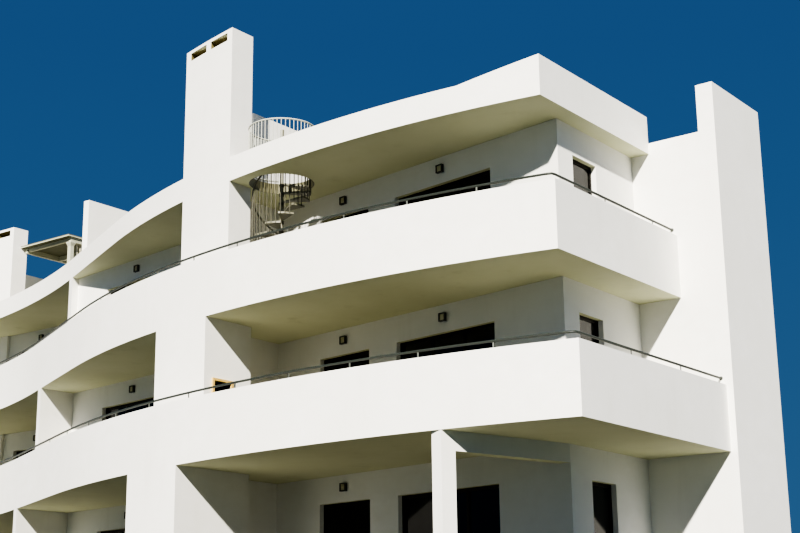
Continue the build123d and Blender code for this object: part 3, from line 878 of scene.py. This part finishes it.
# posts with flared capitals, beams round the four sides, and one across the middle
def makePergolaFrame():
    shape = bmesh.new()
    at = Matrix.Identity(4)
    reach = pergola["capital"] / 2
    left, right = pergola["left"] + reach, pergola["right"] - reach
    front, back = pergola["front"] + reach, pergola["front"] + pergola["depth"] - reach
    top = roofTop + pergola["height"]
    flare, plate = top - pergola["capitalHeight"], top - pergola["capitalPlate"]
    half = pergola["post"] / 2
    for x, y in ((right, front), (right, back), (left, back)):
        addBox(shape, at, (x - half, y - half, roofTop), (x + half, y + half, flare))
        addBox(shape, at, (x - reach, y - reach, plate), (x + reach, y + reach, top))
        known = set(shape.verts)
        addBox(shape, at, (x - half, y - half, flare), (x + half, y + half, plate))
        for vert in set(shape.verts) - known:
            if vert.co.z > (flare + plate) / 2:
                vert.co.x = x + (vert.co.x - x) * reach / half
                vert.co.y = y + (vert.co.y - y) * reach / half
    broad, deep = pergola["beam"][0] / 2, pergola["beam"][1]
    for x in (left, right):
        addBox(shape, at, (x - broad, front - broad, top), (x + broad, back - broad, top + deep))
    addBox(shape, at, (left - broad, back - broad, top), (right + broad, back + broad, top + deep))
    setBack, rise = pergola["frontBeam"]
    for y, foot in ((front + setBack, top + rise), ((front + back) / 2, top)):
        addBox(shape, at, (left + broad, y - broad, foot), (right - broad, y + broad, top + deep))
    finish, slotName = finishes["pergola_paint"], "pergola_paint"
    addPiece("pergola_posts", shape, finish, ["pergola_frame"], 0.004)


# a boarded ceiling, a ribbed sheet over it and a fascia round the open sides
def makePergolaRoof():
    low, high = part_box("pergola_roof")
    boards, sheet, fascia = bmesh.new(), bmesh.new(), bmesh.new()
    at = Matrix.Identity(4)
    edge, brow = pergola["fascia"], high.z - pergola["capping"]
    left, right, front, back = low.x, high.x - edge, low.y + edge, high.y - edge
    pitch = (back - front) / pergola["boards"]
    for n in range(pergola["boards"]):
        near = front + pitch * n + pergola["gap"] / 2
        far = near + pitch - pergola["gap"]
        addBox(boards, at, (left, near, low.z), (right, far, low.z + pergola["boardThickness"]))
    for near, far in (
        ((left, low.y), (high.x, front)),
        ((left, back), (high.x, high.y)),
        ((right, front), (high.x, back)),
    ):
        addBox(fascia, at, (*near, low.z), (*far, brow))
        addBox(boards, at, (*near, brow), (*far, high.z))
    top = high.z - pergola["sheetDrop"]
    addBox(sheet, at, (left, front, top - pergola["sheet"]), (right, back, top))
    spacing, half = (right - left) / pergola["ribs"], pergola["rib"] / 2
    for n in range(pergola["ribs"]):
        across = left + spacing * (n + 0.5)
        addBox(sheet, at, (across - half, front, top), (across + half, back, high.z))
    paint, cover = finishes["pergola_paint"], finishes["pergola_sheet"]
    addPiece("pergola_boards", boards, boarding, ["pergola_roof"], 0.002)
    addPiece("pergola_fascia", fascia, paint, ["pergola_roof"], 0.002)
    addPiece("pergola_cover", sheet, cover, ["pergola_roof"], 0.002)


makePergolaFrame()
makePergolaRoof()
print("stage: pergola")

flues = {
    "top": 12.52,
    "cap": 0.07,
    "size": (0.62, 0.175),
    "gap": 0.16,
    "lining": 0.006,
    "clear": 0.001,
    "towers": ((3.29, -6.08, (0.14, 0.32)), (-12.2, 0.34, (0.385, 0.385))),
}


# dark linings in the flue slots under each tower's cap: painted shade
def makeFlueLinings():
    shape = bmesh.new()
    wide, tall = flues["size"]
    thick, clear = flues["lining"], flues["clear"]
    half = wide / 2 - clear
    for x, back, depths in flues["towers"]:
        for side, length in zip((-1, 1), depths):
            across = x + side * (wide + flues["gap"]) / 2
            at = wallFrame((across, back, flues["top"] - flues["cap"] - tall), 0)
            addBox(shape, at, (-half, clear, clear), (half, tall - clear, thick))
            addBox(shape, at, (-half, clear, thick), (half, thick, length))
            addBox(shape, at, (-half, tall - thick, thick), (half, tall - clear, length))
            addBox(shape, at, (-half, thick, thick), (-half + thick, tall - thick, length))
            addBox(shape, at, (half - thick, thick, thick), (half, tall - thick, length))
    addPiece("flue_linings", shape, flueShadeLining)


makeFlueLinings()
print("stage: flues")

surround = {
    "floorTones": ("#D6D2C2", "#CCC8B6"),
    "reach": 320.0,
    "levelFrom": -15.0,
    "lowFrom": -23.0,
    "drop": -1.95,
    "below": "#2C2F1E",
    "bands": ((-0.7, -0.1, "#4F6F70"), (-0.1, 0.0, "#5584B4"), (0.0, 0.4, "#4573AB")),
    "strength": 0.55,
}


# a plain pale floor, level round the block and lower in front, where the camera stands
def plainFloor():
    mesh = bpy.data.meshes.new("floor")
    reach, drop = surround["reach"], surround["drop"]
    rows = ((reach, 0), (surround["levelFrom"], 0), (surround["lowFrom"], drop), (-reach, drop))
    corners = [(side * reach, y, z) for y, z in rows for side in (-1, 1)]
    mesh.from_pydata(corners, [], [(n, n + 2, n + 3, n + 1) for n in (0, 2, 4)])
    made = bpy.data.objects.new("floor", mesh)
    scene.collection.objects.link(made)
    material, tree, shader, place = newMaterial("plain floor", 0.9)
    clouds = marks(tree, place, 4000, 2, (0.3, 0.7))
    light, dark = surround["floorTones"]
    mixed = addNode(tree, "Mix", colourMix, {0: clouds, 6: light, 7: dark})
    tree.links.new(mixed.outputs[2], shader.inputs["Base Color"])
    mesh.materials.append(material)
    made.visible_diffuse = False  # it throws no light up under the balconies


plainFloor()

# the key stands in front of the block and to its right, and a broad fill behind it
lights = {
    "key": {"toward": (-0.5, 1, -0.67), "strength": 10.0, "spread": 1.5, "tone": "#FFF9EE"},
    "fill": {"toward": (0.5, -1, -0.75), "strength": 2.4, "spread": 70.0, "tone": "#F4F1EA"},
}


def studioLight():
    for name, light in lights.items():
        sun = bpy.data.lights.new(name, "SUN")
        sun.energy = light["strength"]
        sun.angle = math.radians(light["spread"])
        sun.color = toLinear(light["tone"])[:3]
        made = bpy.data.objects.new(name, sun)
        scene.collection.objects.link(made)
        made.rotation_euler = Vector(light["toward"]).to_track_quat("-Z", "Y").to_euler()
    world = bpy.data.worlds.new("studio")
    world.use_nodes = True
    tree = world.node_tree
    aim = addNode(tree, "TexCoord").outputs["Generated"]
    height = addNode(tree, "SeparateXYZ", sockets={"Vector": aim}).outputs["Z"]
    tone = surround["below"]
    for low, high, band in surround["bands"]:
        reach = {"Value": height, "From Min": low, "From Max": high}
        share = addNode(tree, "MapRange", sockets=reach).outputs["Result"]
        tone = addNode(tree, "Mix", colourMix, {0: share, 6: tone, 7: band}).outputs[2]
    back = tree.nodes["Background"]
    tree.links.new(tone, back.inputs["Color"])
    back.inputs["Strength"].default_value = surround["strength"]
    scene.world = world
    scene.view_settings.look = "AgX - High Contrast"


studioLight()

# the photograph's angle, in metres and degrees
view = {
    "place": (24.125, -27.17, -0.445),
    "leftOfBack": 37.08,
    "upward": 15.045,
    "roll": -0.658,
    "focalLength": 65.26,
    "sensor": 36.0,
    "farthest": 500.0,
}


def makeCamera():
    data = bpy.data.cameras.new("camera")
    data.lens = view["focalLength"]
    data.sensor_width = view["sensor"]
    data.clip_end = view["farthest"]
    made = bpy.data.objects.new("camera", data)
    scene.collection.objects.link(made)
    turn = Matrix.Rotation(math.radians(view["leftOfBack"]), 4, "Z")
    tilt = Matrix.Rotation(math.radians(90 + view["upward"]), 4, "X")
    roll = Matrix.Rotation(math.radians(view["roll"]), 4, "Z")
    made.matrix_world = Matrix.Translation(view["place"]) @ turn @ tilt @ roll
    scene.camera = made


makeCamera()
print("stage: floor, light and camera")
